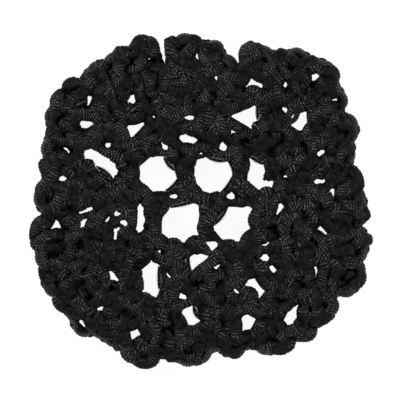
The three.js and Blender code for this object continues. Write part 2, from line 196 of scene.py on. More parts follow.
# %% Chart of the small openings
SMALL_OPENINGS = np.array([
    # x, y, long, wide, turn
    (-33.5, -3, 4, 1, 15), (-19.5, 29.5, 3, 1.5, 80), (23, -2, 3.5, 1.5, 75), (9, 1.5, 2.5, 2, 40),
    (6.5, 15.5, 2.5, 2, 135), (-5, -27.5, 3, 1.5, 145), (34.5, 5.5, 3.5, 1.5, 15), (-3, 24, 2.5, 2, 150),
    (35, 14, 3, 1.5, 35), (-40, 6, 3, 1, 5), (-42, -7, 3, 1.5, 45), (-25, -22, 4, 0.5, 130),
    (-26.5, 16, 2, 1.5, 20), (-9, -21.5, 2.5, 1, 130), (-29, -31.5, 2.5, 1, 175), (-34, -6.5, 3, 1.5, 40),
])
PINHOLES = np.array([
    # x, y, long, wide, turn
    (34, 36.5, 1.5, 1, 145), (-34.5, -36, 2.5, 2, 45), (21, -20, 2.5, 1, 145), (35.5, -8.5, 3, 1, 130),
    (33.5, -21, 3, 0.5, 95), (-10, 15.5, 1.5, 1.5, 0), (4, 44.5, 1.5, 1, 5), (38.5, 2.5, 2, 1, 110),
    (-0.5, 41.5, 2.5, 0.5, 100), (-5.5, 44, 2, 1, 35), (24.5, 26.5, 1.5, 1, 80), (-24, -4, 1.5, 0.5, 15),
    (-22, -6.5, 2, 1, 150), (-27, -5.5, 1.5, 1, 50), (-24, -8.5, 1.5, 1, 10), (-32, 30, 1.5, 1, 170),
    (30, 42, 2, 1, 70), (19, -16.5, 2, 1, 100), (4.5, 35.5, 1.5, 0.5, 90), (10.5, -26, 2, 0.5, 135),
    (6.5, -35, 1, 1, 0), (24.5, 33.5, 1.5, 0.5, 65), (0.5, 13.5, 1, 1, 0), (19, -12.5, 1.5, 0.5, 30),
    (27, 24.5, 1, 0.5, 45),
])
print(len(SMALL_OPENINGS), "small openings and", len(PINHOLES), "pinholes")

# %% [markdown]
# ## The scalloped edge and the rim
#
# Where the net turns under, each stitch stands out as a loop. Even waves would be simpler, but the loops
# differ, so the chart gives the direction and reach of each and the reach of the dip after it. The rim round
# the mouth is hidden below and charted too.

# %% Chart of the edge
EDGE_LOOPS = np.array([
    # at, reach, dip
    (-1.5, 49.5, 48.5), (6, 47.5, 43.5), (18.5, 48, 48.5), (26, 52, 48.5), (38, 53.5, 54),
    (46, 56, 54.5), (54, 54, 49.5), (67, 49.5, 48), (85.5, 47.5, 47.5), (95.5, 49.5, 48.5),
    (110, 51, 50), (119.5, 51, 50), (129, 51.5, 49), (142, 52.5, 52), (148.5, 52.5, 49.5),
    (159.5, 49.5, 48), (168.5, 47.5, 47), (178, 49, 46), (192.5, 50.5, 50), (200, 51.5, 50.5),
    (208.5, 53, 51), (219.5, 52, 52), (226.5, 53.5, 50.5), (235.5, 50.5, 48.5), (248.5, 51.5, 48),
    (258.5, 48, 48), (265.5, 49, 44), (284.5, 46.5, 45.5), (297, 50.5, 50), (311, 51.5, 50.5),
    (318, 52.5, 47.5), (332.5, 54, 48.5), (343, 52, 47.5),
])
NOTCHES = np.array([
    # x, y, long, wide, turn
    (-26.8, 40.2, 4.5, 1, 145), (-10.9, 43.8, 9, 2, 92), (11, 40.4, 1.6, 1.2, 100),
    (10, 43, 3.2, 3.2, 0), (9, 46.6, 7.6, 7.6, 0),
])
print(len(EDGE_LOOPS), "edge loops, with two slits and a wedge between them")

# %% Edge outline
LOOP_SHOULDER = 0.26  # from a loop's top to its shoulder, as a share of the angle to the next loop
SHOULDER_DROP = 0.12  # and down from the top, as a share of its height over the dip


def polar(at, reach):
    """Points in a direction in degrees at a distance from the middle."""
    turn = np.radians(at)
    return np.stack([reach * np.cos(turn), reach * np.sin(turn)], axis=-1)


def edge_outline(inset):
    """The scalloped edge, four points for each loop: two shoulders, its top and the dip after it."""
    at, reach, dip = EDGE_LOOPS.T
    to_before = (at - np.roll(at, 1)) % 360
    to_after = (np.roll(at, -1) - at) % 360
    angles = [at - LOOP_SHOULDER * to_before, at, at + LOOP_SHOULDER * to_after, at + to_after / 2]
    low = reach - SHOULDER_DROP * (reach - np.roll(dip, 1))
    high = reach - SHOULDER_DROP * (reach - dip)
    return polar(np.stack(angles, 1).ravel(), np.stack([low, reach, high, dip], 1).ravel() - inset)


def reach_of(outline, points):
    """How far a closed outline lies from the middle in the direction of each point."""
    outline_angle = np.arctan2(outline[:, 1], outline[:, 0])
    order = np.argsort(outline_angle)
    angle = np.arctan2(points[..., 1], points[..., 0])
    return np.interp(angle, outline_angle[order], np.hypot(*outline[order].T), period=2 * np.pi)


EDGE = edge_outline(0.0)
print("edge", np.round(np.ptp(EDGE, axis=0), 1), "mm across")

# %% Helpers for lines
TINY = 1e-6
UP = (0.0, 0.0, 1.0)


def units(vectors):
    """Vectors brought to length one."""
    return vectors / np.maximum(np.linalg.norm(vectors, axis=1), TINY)[:, None]


def level(vectors, height=0.0):
    """Points or vectors (x, y) with a height as their third value."""
    return np.column_stack([vectors, np.broadcast_to(height, len(vectors))])


def lengths_along(line):
    """How far along a line each of its points lies."""
    return np.r_[0, np.cumsum(np.linalg.norm(np.diff(line, axis=0), axis=1))]


def read_off(at, places, rows):
    """Rows of values known at some places along a line, read off at others."""
    return np.stack([np.interp(at, places, column) for column in rows.T], 1)


# %% The rim's way round the mouth
RIM_WAY = np.array([
    # at, reach
    (9, 31.2), (38, 31.4), (63, 34), (95, 32.8), (123, 31.4), (143, 35.4), (155, 39), (172, 37),
    (190, 37.4), (215, 36.8), (241, 34.4), (267, 38.4), (291, 33), (304, 35.2), (325, 33.6), (347, 32.4),
])
RIM_POINTS = 240
RIM_HALF = 1.9  # half the width of the dense last round
MOUTH_CLEAR = 0.2  # from there to the turned-under net
RIDGE_CLEAR = 1.0  # and to the middle of its first bars


def ahead_on_loop(line):
    """From the point before to the point after, for each point of a closed line."""
    return np.roll(line, -1, axis=0) - np.roll(line, 1, axis=0)


def right_of(ahead):
    """To the right of each way ahead, which is outward on a counter-clockwise line."""
    return np.stack([ahead[:, 1], -ahead[:, 0]], 1)


def rim_line(offset):
    """The rim's way round the mouth, a closed spline through its chart, set off outward by a distance."""
    knots = polar(*RIM_WAY.T)
    index = np.arange(RIM_POINTS) * len(knots) / RIM_POINTS
    i = index.astype(int)
    t = (index - i)[:, None]
    p0, p1, p2, p3 = (knots[(i + k) % len(knots)] for k in (-1, 0, 1, 2))
    line = 0.5 * (2 * p1 + (p2 - p0) * t + (2 * p0 - 5 * p1 + 4 * p2 - p3) * t ** 2
                  + (3 * p1 - p0 - 3 * p2 + p3) * t ** 3)
    return line + offset * right_of(units(ahead_on_loop(line)))


MOUTH_LINE = rim_line(RIM_HALF + MOUTH_CLEAR)
MOUTH_RIDGE = rim_line(RIM_HALF + RIDGE_CLEAR)
print("mouth", np.round(np.ptp(rim_line(-RIM_HALF), axis=0), 1), "mm across")

# %% [markdown]
# ## Openings as discs
#
# Distances to an opening with corners and bowed sides are hard to measure. To discs they are easy, so a
# large opening is filled with discs, the largest first. Slots and pinholes are rows of equal discs.

# %% The sides of a large opening
LACE_DEPTH = 1.3  # how far the yarn stays back half way along a lacy side
SIDE_SAMPLES = 40


def sides_of(corners):
    """First corner, next corner, bow and lace of each side of a large opening."""
    corners = np.array([(*corner, 0, 0)[:4] for corner in corners], float)
    return [*zip(corners[:, :2], np.roll(corners, -1, axis=0)[:, :2], *corners[:, 2:].T)]


def side_line(start, end, bow, overrun=0.0):
    """Points of a side. At share s of the way it has bulged into the opening by 4 s (1 - s) times its bow. It
    can run on past both corners, curving away."""
    length = np.linalg.norm(end - start)
    s = np.linspace(-overrun / length, 1 + overrun / length, SIDE_SAMPLES)[:, None]
    inward = np.array([start[1] - end[1], end[0] - start[0]]) / length
    return start + s * (end - start) + 4 * s * (1 - s) * bow * inward


# %% Discs in an opening
FILL_STEP = 0.25  # millimetres between the places tried for discs
LEAST_DISC = 0.2
WHOLE = 0.01  # a slot this much over a whole number of widths counts as that number
LARGE_SPARE = 0.3  # the chains stay this far back, as large openings have loops of their own
PINHOLE_SPARE = 0.15  # the yarn bulges this far into the pinholes, so they are made larger


def filling(corners):
    """A large opening as discs: the largest that fits between its sides, then the largest whose middle lies
    outside the first, and so on."""
    outline = np.concatenate([side_line(start, end, bow - lace * LACE_DEPTH)
                              for start, end, bow, lace in sides_of(corners)])
    spans = zip(outline.min(axis=0), outline.max(axis=0))
    places = np.stack(np.meshgrid(*(np.arange(*span, FILL_STEP) for span in spans)), -1).reshape(-1, 2)
    offset = outline - places[:, None]
    angle = np.arctan2(offset[..., 1], offset[..., 0])
    turned = np.diff(np.unwrap(np.column_stack([angle, angle[:, :1]]), axis=1), axis=1).sum(axis=1)
    radius = np.where(turned > np.pi, np.linalg.norm(offset, axis=2).min(axis=1), 0)
    discs = []
    while not discs or radius.max() > LEAST_DISC:
        best = radius.argmax()
        discs.append((*places[best], radius[best]))
        radius = np.where(np.linalg.norm(places - places[best], axis=1) < radius[best], 0, radius)
    return np.array(discs)


def discs_of(hole):
    """A slot as a row of discs (x, y, radius) of its width, evenly along its length."""
    x, y, long, wide, turn = hole
    steps = int(np.ceil((long - wide) / wide - WHOLE))
    shift = (long - wide) * (np.arange(steps + 1) / steps - 0.5) if steps else np.zeros(1)
    return level((x, y) + shift[:, None] * polar(turn, 1.0), wide / 2)


def clear_of(points, discs):
    """Shortest distance from each point to the rim of the nearest disc."""
    away = np.linalg.norm(points[..., None, :] - discs[:, :2], axis=-1) - discs[:, 2]
    return away.min(axis=-1)


seen_rows = [filling(corners) + (0, 0, LARGE_SPARE) for corners in LARGE_OPENINGS]
seen_rows += [discs_of(hole) for hole in SMALL_OPENINGS]
seen_rows += [discs_of(hole) + (0, 0, PINHOLE_SPARE) for hole in PINHOLES]
NOTCH_DISCS = np.concatenate([discs_of(notch) for notch in NOTCHES])
kept_open = np.concatenate([*seen_rows, NOTCH_DISCS])
print(len(kept_open), "discs in", len(seen_rows), "openings and pinholes and in the notches")

# %% [markdown]
# ## Eyelets
#
# The real net has many more openings, closed by the layer below. Nothing shows where they are, so they aren't
# charted but found: round by round from the edge, wherever there is room.

# %% Eyelets of the crown
EYELET_WALL = 2.4  # half the yarn between two eyelets
EYELET_ROUNDS = np.arange(0.94, 0.1, -0.04)  # as shares of the reach of the edge
EYELET_OUT, EYELET_IN = 1.6, 0.4  # how wide they are over the lower layer and over the mouth
TRIES = 72  # places tried in each round


def eyelets(size, wall, taken, inner=None, above=None):
    """Eyelets as slots: each place outside an inner line with room for a bar of two walls all round, and not
    under a hole of the layer above, so that each layer closes the other's eyelets."""
    direction = polar(360 * np.arange(TRIES) / TRIES, 1.0)
    found = np.empty((0, 5))
    for share in EYELET_ROUNDS:
        for place in direction * share * reach_of(EDGE, direction)[:, None]:
            far = np.hypot(*place)
            too_far_in = inner is not None and far < reach_of(inner, place)
            too_near_edge = reach_of(EDGE, place) - far < 2 * wall
            seen_through = above is not None and clear_of(place, above) < size
            crowded = clear_of(place, taken) < 2 * wall + size / 2
            if not (too_far_in or too_near_edge or seen_through or crowded):
                found = np.vstack([found, (*place, size, size, 0)])
                taken = np.vstack([taken, discs_of(found[-1])])
    return found


outer = eyelets(EYELET_OUT, EYELET_WALL, kept_open, MOUTH_RIDGE)
outer_discs = np.concatenate([discs_of(hole) for hole in outer])
inner = eyelets(EYELET_IN, EYELET_WALL, np.concatenate([kept_open, outer_discs]))
crown_eyelets = np.vstack([outer, inner])
print(len(outer), "eyelets over the lower layer and", len(inner), "over the mouth")

# %% [markdown]
# ## Knots and bars
#
# A knot ties the chains that meet between openings. Here it lies equally far outside three openings, and a
# bar joins two knots that share two of them, as between soap bubbles. The openings could be grown until
# they meet, but solving all groups of three discs at once is exact and quick.

# %% Knots and bars between discs
BAR_HALF = 2.2
REACH_OF_THREE = 16.0  # discs further apart than this share no knot
LEAST_AREA = 1e-6  # three discs whose middles span less than this lie in line


def knots_and_bars(discs, holes):
    """Knots (x, y) between discs, and bars (knot, knot, hole, hole) between the holes that the discs belong
    to. A knot has equal power to three discs and more to all others. Power is the square of the distance less
    the square of the radius with half a bar added."""
    middle = discs[:, :2]
    weight = (discs[:, 2] + BAR_HALF) ** 2
    size = (middle ** 2).sum(1) - weight
    near = np.triu(np.linalg.norm(middle[:, None] - middle, axis=2) < REACH_OF_THREE, 1)
    pairs = np.argwhere(near)
    pair, third = np.nonzero(near[pairs[:, 0]] & near[pairs[:, 1]])
    three = np.column_stack([pairs[pair], third])
    three = three[(holes[three] != holes[three[:, :1]]).any(axis=1)]
    a, b, c = middle[three.T]
    (bx, by), (cx, cy) = (b - a).T, (c - a).T
    area = bx * cy - by * cx
    kept = np.abs(area) > LEAST_AREA
    three, a, bx, by, cx, cy, area = (v[kept] for v in (three, a, bx, by, cx, cy, area))
    e, f = (size[three[:, 1:]] - size[three[:, :1]]).T / 2
    x, y = (e * cy - f * by) / area, (f * bx - e * cx) / area
    power = (x - a[:, 0]) ** 2 + (y - a[:, 1]) ** 2 - weight[three[:, 0]]
    real = np.ones(len(x), bool)
    for n, disc in enumerate(discs):
        nearer = (x - disc[0]) ** 2 + (y - disc[1]) ** 2 - weight[n] < power
        real &= ~nearer | (three == n).any(axis=1)
    meeting = {}
    for knot, members in enumerate(three[real]):
        for pair in combinations(sorted(members), 2):
            meeting.setdefault(pair, []).append(knot)
    bars = [(*ends, holes[m], holes[n]) for (m, n), ends in meeting.items()
            if len(ends) == 2 and holes[m] != holes[n] and max(holes[m], holes[n]) >= 0]
    return np.stack([x, y], 1)[real], np.array(bars)


def meeting_places(bars, knots):
    """The knots where three or more openings meet."""
    sides = {}
    for start, end, *pair in bars:
        sides.setdefault(start, set()).update(pair)
        sides.setdefault(end, set()).update(pair)
    return knots[[knot for knot, met in sides.items() if len(met) > 2]]


# %% Ridges that bars follow
def along(ridge, line):
    """The stretch of a ridge between the directions of a line's two ends, a point a degree."""
    first, last = (np.degrees(np.arctan2(y, x)) for x, y in line[[0, -1]])
    turn = (last - first + 180) % 360 - 180
    direction = polar(first + turn * np.linspace(0, 1, max(2, round(abs(turn)))), 1.0)
    return direction * reach_of(ridge, direction)[:, None]


def nearest_on(outline, points):
    """Point of a closed outline that lies nearest to each point."""
    step = np.roll(outline, -1, axis=0) - outline
    t = np.clip(((points[:, None] - outline) * step).sum(2) / (step ** 2).sum(1), 0, 1)
    candidates = outline + t[..., None] * step
    best = np.linalg.norm(points[:, None] - candidates, axis=2).argmin(1)
    return candidates[np.arange(len(points)), best]


def joined(bars, knots, ridges):
    """Joins the pieces between the same two holes end to end, and gives each line with its holes. A line
    along the edge or the mouth follows that ridge instead."""
    runs, lines = {}, []
    for start, end, *sides in bars:
        runs.setdefault(tuple(sorted(sides)), []).append((start, end))
    for sides, pieces in runs.items():
        while pieces:
            run = list(pieces.pop())
            while touching := [piece for piece in pieces if run[0] in piece or run[-1] in piece]:
                one, other = touching[0]
                pieces.remove(touching[0])
                if run[-1] in touching[0]:
                    run.append(other if one == run[-1] else one)
                else:
                    run.insert(0, other if one == run[0] else one)
            line = along(ridges[sides[0]], knots[run]) if sides[0] in ridges else knots[run]
            lines.append((line, sides))
    return lines


# %% The net round a set of holes
OUTSIDE, MOUTH, NOTCH = -1, -2, -3
OUTSIDE_DISC = 1.5  # radius of the discs that stand for the space outside, one at each dip
MOUTH_DISCS = 24  # discs that stand for the mouth, in a ring inside the rim
CROWN_INSET = 1.2  # how far the loops of the edge stand out past its bars


def net_of(holes, edge_inset, inner=None, inner_ridge=None):
    """The net round holes given as rows of discs, out to the edge and in to the mouth: bars as lines with
    their holes, knots, the discs of each hole, and all that yarn keeps clear of."""
    at, _, dip = EDGE_LOOPS.T
    between = at + ((np.roll(at, -1) - at) % 360) / 2
    rows = [*holes, NOTCH_DISCS, level(polar(between, dip + OUTSIDE_DISC), OUTSIDE_DISC)]
    owners = [*range(len(holes)), NOTCH, OUTSIDE]
    if inner is not None:
        ring = polar(360 * np.arange(MOUTH_DISCS) / MOUTH_DISCS, 1.0)
        rows.append(level(ring * (reach_of(inner, ring) - BAR_HALF)[:, None], BAR_HALF))
        owners.append(MOUTH)
    knots, bars = knots_and_bars(np.concatenate(rows), np.repeat(owners, [len(row) for row in rows]))
    ridges = {OUTSIDE: edge_outline(edge_inset + BAR_HALF), MOUTH: inner_ridge}
    for side, ridge in ridges.items():
        touched = np.unique(bars[(bars[:, 2:] == side).any(axis=1), :2])
        if len(touched):
            knots[touched] = nearest_on(ridge, knots[touched])
    return {"bars": joined(bars, knots, ridges), "knots": meeting_places(bars, knots),
            "rows": {NOTCH: NOTCH_DISCS, **dict(enumerate(holes))},
            "clear": np.concatenate([*holes, NOTCH_DISCS])}


crown = net_of([*seen_rows, *(discs_of(eyelet) for eyelet in crown_eyelets)], CROWN_INSET)
print(len(crown["bars"]), "bars and", len(crown["knots"]), "knots in the crown")

# %% [markdown]
# ## The turned-under net
#
# The outer rounds turn under and run in to the mouth. A plain disc would nearly do, but light comes through
# both layers. So this is the same kind of net, open where the crown shows daylight, with its own eyelets
# below the yarn of the crown.

# %% The lower layer's holes and bars
UNDER_EYELET = {"size": 1.2, "wall": 1.9, "inset": 2.3}
UNDER_SPARE = 0.3  # its openings are this much larger all round than those above them

backed = []
for row in seen_rows:
    middle = row[:, :2].mean(axis=0)
    if np.hypot(*middle) > reach_of(MOUTH_LINE, middle):
        backed.append(row + (0, 0, UNDER_SPARE))
lower = eyelets(UNDER_EYELET["size"], UNDER_EYELET["wall"], np.concatenate([*backed, NOTCH_DISCS]),
                rim_line(RIM_HALF + 2 * UNDER_EYELET["wall"]), outer_discs)
under = net_of([*backed, *(discs_of(eyelet) for eyelet in lower)], UNDER_EYELET["inset"], MOUTH_LINE,
               MOUTH_RIDGE)
print(len(backed), "openings,", len(lower), "eyelets and", len(under["bars"]), "bars in the turned-under net")

# %% [markdown]
# ## The form of the net
#
# Laid down, the crown is nearly flat and turns down at the edge, where the lower layer rises to meet it. A
# cloth simulation could settle them, but smooth functions keep them where the frame has its solids.

# %% Layer heights
# Millimetres: the height of the crown's layer inside and at the edge, the lower layer's likewise, and the
# height and number of the edge's waves. The turn is the power with which the crown falls to the edge.
FORM = {"crown": (14.2, 9.2), "under": (2.5, 4.6), "wave": 0.6, "waves": 9, "turn": 4}


def layer_height(points, inside, edge, power, fading):
    """From the height inside to that at the edge with a power of how far out a point lies, 0 in the middle
    and 1 on the edge. The edge's soft waves fade inward by some more powers."""
    share = np.minimum(1.0, np.hypot(*points.T) / reach_of(EDGE, points))
    angle = np.arctan2(points[:, 1], points[:, 0])
    wave = FORM["wave"] / 2 * share ** FORM["turn"] * np.cos(FORM["waves"] * angle)
    return inside + (edge - inside) * share ** power + wave * share ** fading


def crown_height(points):
    """The middle of the crown's layer, flat inside."""
    return layer_height(points, *FORM["crown"], FORM["turn"], 0)


def under_height(points):
    """The middle of the turned-under layer, which lies on the table and turns up later."""
    return layer_height(points, *FORM["under"], 2 * FORM["turn"], 1)


print("crown at the edge", np.round([crown_height(EDGE).min(), crown_height(EDGE).max()], 1), "mm up")

# %% [markdown]
# ## Chain stitches
#
# A chain stitch is a loop pulled through the loop before: up one side, over the top, down the other, and
# behind at both ends. Each could be a curve of its own, but seen along the bar they are a row of
# overlapping ovals, so one formula gives the whole chain.

# %% A bar's path
SAMPLE = 0.25  # millimetres between the points of a path
OVERHANG = 1.0  # how far a chain runs on past its last knot
SMOOTHING = 2.0  # millimetres over which a bar's corners are rounded
CENTRING_STEPS = 3


def evenly(line):
    """A line with its points a sample apart."""
    lengths = lengths_along(line)
    return read_off(np.arange(0, lengths[-1], SAMPLE), lengths, line)


def smooth_path(line):
    """A bar's knots as a smooth curve: each even point is the mean of those around it, and both ends are
    carried on by the overhang."""
    before, after = units(np.array([line[0] - line[1], line[-1] - line[-2]])) * (OVERHANG + SMOOTHING / 2)
    even = evenly(np.vstack([line[0] + before, line, line[-1] + after]))
    window = np.full(int(SMOOTHING / SAMPLE), SAMPLE / SMOOTHING)
    return np.stack([np.convolve(column, window, "valid") for column in even.T], 1)


def centred(path, one, other):
    """Moves a path to the middle between two rows of discs. In each step a point goes half of what it is
    nearer to one row, away from the nearest disc of that row and towards that of the other."""
    for _ in range(CENTRING_STEPS):
        near, away = [], []
        for row in (one, other):
            offset = path[:, None] - row[:, :2]
            distance = np.linalg.norm(offset, axis=2)
            nearest = np.arange(len(path)), (distance - row[:, 2]).argmin(1)
            near.append(distance[nearest] - row[nearest[1], 2])
            away.append(offset[nearest] / distance[nearest][:, None])
        path = path + (near[1] - near[0])[:, None] / 2 * (away[0] - away[1]) / 2
    return path


# %% Centre line of a chain
STITCH_SAMPLES = 40
LOOP_REACH = 1.1  # how far each loop reaches forward, as a share of the stitch
TILT, UPRIGHT = 0.7, 1.7  # how far the ribbon leans with its swing, and how much it faces up all the same


def stitched(path, across, up, reach, width, stitch, depth, phase=0.0, closed=False):
    """Chain stitches along evenly spaced points. At stitch angle t the yarn lies t/2pi stitches along the
    path less half a loop of cos t, reach times sin t across it, and depth times -cos 2t up from it. Gives the
    points, the way the ribbon faces, how loose it is (1 on the crest of a stitch, 0 where the next one
    pinches it) and its width."""
    stitches = max(1, round(SAMPLE * len(path) / stitch))
    t = np.linspace(0, 2 * np.pi * stitches, STITCH_SAMPLES * stitches)
    share = (t / (2 * np.pi) - LOOP_REACH * np.cos(t + phase) / 2) / stitches
    t = t + phase
    vectors = [np.broadcast_to(vector, path.shape) for vector in (path, across, up)]
    rows = np.column_stack(vectors + [np.broadcast_to(number, len(path)) for number in (reach, width)])
    if closed:
        rows = np.vstack([rows, rows[:1]])
    share = share % 1 if closed else np.clip(share, 0, 1)
    rows = read_off(share, np.linspace(0, 1, len(rows)), rows)
    path, across, up, reach, width = rows[:, :3], rows[:, 3:6], rows[:, 6:9], rows[:, 9], rows[:, 10]
    swing = (reach * np.sin(t))[:, None] * units(across)
    rise = -depth * np.cos(2 * t)
    facing = TILT * swing + (rise + UPRIGHT * depth)[:, None] * units(up)
    return path + swing + rise[:, None] * units(up), facing, (rise / depth + 1) / 2, width


# %% [markdown]
# ## The ribbon
#
# The yarn is a knitted tube pressed flat, 3.4 mm wide. A curve with a flat bevel can't swell at every
# course or narrow where a stitch pinches it, so the section is carried along the line as one array of
# points.

# %% Ribbon swept along a line
RIB = 0.7  # millimetres from one knitted course of the ribbon to the next
AROUND = 10  # points round the ribbon's section
STEPS = 2  # sections for each course
END_ROUNDING = 1.2  # millimetres over which an end narrows
END_LEAST = 0.03  # share of the rounding at which an end is cut off
# Half its width and thickness, the share of each that is left where it is pinched and what comes back where
# it is loose, how far the courses swell it sideways and upward, and the power of its section: 1 for an
# ellipse, 0 for a box.
RIBBON = {"half_width": 1.75, "half_thick": 0.62, "wide": (0.84, 0.2), "thick": (0.8, 0.55),
          "tooth": 0.05, "rib": 0.07, "square": 0.8}


def half_wide(width, loose):
    """Half the ribbon's width for a share of its full width, pinched or loose."""
    pinched, swell = RIBBON["wide"]
    return width * RIBBON["half_width"] * (pinched + swell * loose)


def squarer(wave):
    """A cosine or sine bent so that an ellipse gets fuller corners."""
    return np.sign(wave) * np.abs(wave) ** RIBBON["square"]


def ribbon(points, facing, loose, width):
    """Carries a flattened oval along a line, half_width to the sides and half_thick towards where it faces.
    It swells at every knitted course and where it is loose, and narrows at both ends. Gives a grid of places
    (along, around), and for each the count of courses and the share round."""
    lengths = lengths_along(points)
    sections = STEPS * max(3, round(lengths[-1] / RIB)) + 1
    at = np.linspace(0, lengths[-1], sections)
    rows = read_off(at, lengths, np.column_stack([points, facing, loose, width]))
    points, facing, loose, width = rows[:, :3], rows[:, 3:6], rows[:, 6:7], rows[:, 7:]
    tangent = units(np.gradient(points, axis=0))
    normal = units(facing - (facing * tangent).sum(1)[:, None] * tangent)
    side = np.cross(tangent, normal)
    courses = np.arange(sections)[:, None] / STEPS
    crest = np.cos(2 * np.pi * courses)
    ends = np.sqrt(np.clip(np.minimum(at, at[-1] - at) / END_ROUNDING, END_LEAST, 1))[:, None]
    pinched, swell = RIBBON["thick"]
    wide = half_wide(width, loose) * (1 + RIBBON["tooth"] * crest) * ends
    thick = width * RIBBON["half_thick"] * (pinched + swell * loose) * (1 + RIBBON["rib"] * crest) * ends
    share_round = np.arange(AROUND) / AROUND
    across = wide * squarer(np.cos(2 * np.pi * share_round))
    up = thick * squarer(np.sin(2 * np.pi * share_round))
    grid = points[:, None] + across[..., None] * side[:, None] + up[..., None] * normal[:, None]
    return grid, np.stack(np.broadcast_arrays(courses, share_round), -1)


# %% [markdown]
# ## The ribbon's colour and painted glints
#
# The yarn is dull black nylon. A photo of knitting would repeat, so the knit is worked out from the ribbon's
# own map: its glints are painted into the colour as light dots along every course, and noise shifts the rows
# and leaves patches where the painted glints fade.

# %% Node helpers for the knit
def maths(tree, operation, *terms):
    """Adds one math node and gives its result."""
    return add(tree, "ShaderNodeMath", dict(enumerate(terms)), operation=operation)[0]


def ranged(tree, value, low, high, least=0.0, most=1.0):
    """Stretches an output from between low and high to between least and most."""
    return add(tree, "ShaderNodeMapRange",
               {"Value": value, "From Min": low, "From Max": high, "To Min": least, "To Max": most})[0]


# %% Knitted nylon with painted glints
WALES = 15  # stitches round the ribbon, fewer than on the real one so that they show
PATCH = 210  # noise scale of patches where the painted glints fade, about 5 mm wide
WANDER = 700  # noise scale at which courses run ahead or behind, about 1.4 mm
WANDER_COURSES = 0.6  # by up to this many
# Where the painted glint of rows, dots, single stitches and patches starts and is full, and the least and
# most of it.
ROWS, DOTS, STITCHES, PATCHES = (0.2, 0.95), (-0.4, 0.7, 0.1), (0, 1, 0.15, 1.2), (0.45, 0.57, 0.08)
# The yarn's own near-black, and the colour of the painted glints along its knitted courses.
GROOVE, PAINTED_GLINT = "#080809", "#86878a"
BUMP = {"Strength": 0.5, "Distance": 0.0002}
NYLON = {"Roughness": 0.55, "IOR": 1.53, "Specular IOR Level": 0.15}


def knitted_nylon():
    """Near-black nylon with painted glints: a light row painted where the cosine of the course count is high,
    times a dot for each stitch across it, half a stitch on in every other row, times chance for each dot and
    noise for patches where the painted glints fade."""
    material, tree = new_material("knitted_nylon_ribbon_painted_glints")
    uv = add(tree, "ShaderNodeUVMap", uv_map="ribbon")
    courses, share_round = add(tree, "ShaderNodeSeparateXYZ", {0: uv[0]})[:2]
    place = add(tree, "ShaderNodeTexCoord")["Object"]
    wander = add(tree, "ShaderNodeTexNoise", {"Vector": place, "Scale": WANDER, "Detail": 0.0})
    course = maths(tree, "MULTIPLY_ADD", wander[0], WANDER_COURSES, courses)
    row = ranged(tree, maths(tree, "COSINE", maths(tree, "MULTIPLY", course, 2 * np.pi)), *ROWS)
    count = maths(tree, "ROUND", course)
    half_turn = maths(tree, "MULTIPLY", count, np.pi)
    wale = maths(tree, "COSINE", maths(tree, "MULTIPLY_ADD", share_round, 2 * np.pi * WALES, half_turn))
    knit = maths(tree, "MULTIPLY", row, ranged(tree, wale, *DOTS))
    half_stitch = maths(tree, "MULTIPLY", count, 0.5)
    stitch = maths(tree, "ROUND", maths(tree, "MULTIPLY_ADD", share_round, WALES, half_stitch))
    cell = add(tree, "ShaderNodeCombineXYZ", {0: count, 1: stitch})
    chance = add(tree, "ShaderNodeTexWhiteNoise", {"Vector": cell[0]}, noise_dimensions="2D")
    dots = maths(tree, "MULTIPLY", knit, ranged(tree, chance[0], *STITCHES))
    patches = add(tree, "ShaderNodeTexNoise", {"Vector": place, "Scale": PATCH, "Detail": 1.5})
    light = maths(tree, "MULTIPLY", dots, ranged(tree, patches[0], *PATCHES))
    colour = add(tree, "ShaderNodeMix", {0: light, 6: linear(GROOVE), 7: linear(PAINTED_GLINT)}, data_type="RGBA")
    bump = add(tree, "ShaderNodeBump", {"Height": light, **BUMP})
    cloth = add(tree, "ShaderNodeBsdfPrincipled", {"Base Color": colour[2], "Normal": bump[0], **NYLON})
    add(tree, "ShaderNodeOutputMaterial", {"Surface": cloth[0]})
    return material


nylon = knitted_nylon()
print(nylon.name, "with", len(nylon.node_tree.nodes), "nodes")

# %% [markdown]
# ## Laying the yarn
#
# Each bar gets its own chain, as wide as the space between its openings, at its own height and phase, so that
# chains cross over and under at the knots. One object each would be hundreds, so the strands of a round are
# one mesh.

# %% Mesh from grids
def mesh_piece(name, strips, closed=False):
    """Joins grids of (along, around) points into one mesh of quads with a cap at each end, and maps how far
    along and how far round each corner lies."""
    places, quads, caps, maps = [], [], [], []
    base = 0
    for grid, uv in strips:
        rows, around = grid.shape[:2]
        last = rows if closed else rows - 1
        index = base + np.arange(rows * around).reshape(rows, around)
        beside, ahead = np.roll(index, -1, axis=1), np.roll(index, -1, axis=0)
        quads.append(np.stack([index, beside, np.roll(beside, -1, axis=0), ahead], -1)[:last].reshape(-1, 4))
        u, v = uv[..., 0], uv[..., 1]
        next_u, next_v = u + (u[1, 0] - u[0, 0]), np.roll(v, -1, axis=1)
        next_v = np.where(next_v < v, next_v + 1, next_v)
        maps.append(np.stack([u, v, u, next_v, next_u, next_v, next_u, v], -1)[:last].reshape(-1, 2))
        if not closed:
            caps += [index[0][::-1].tolist(), index[-1].tolist()]
        places.append(grid.reshape(-1, 3))
        base += rows * around
    quads = np.concatenate(quads)
    mesh = bpy.data.meshes.new(name)
    mesh.from_pydata(np.concatenate(places) * MM, [], [*quads.tolist(), *caps])
    mesh.shade_smooth()
    corner_map = np.zeros((len(mesh.loops), 2), np.float32)
    corner_map[:quads.size] = np.concatenate(maps)
    mesh.uv_layers.new(name="ribbon").uv.foreach_set("vector", corner_map.ravel())
    mesh.materials.append(nylon)
    print(name, len(strips), "strands,", 2 * len(quads), "triangles")
    return put(name, mesh)


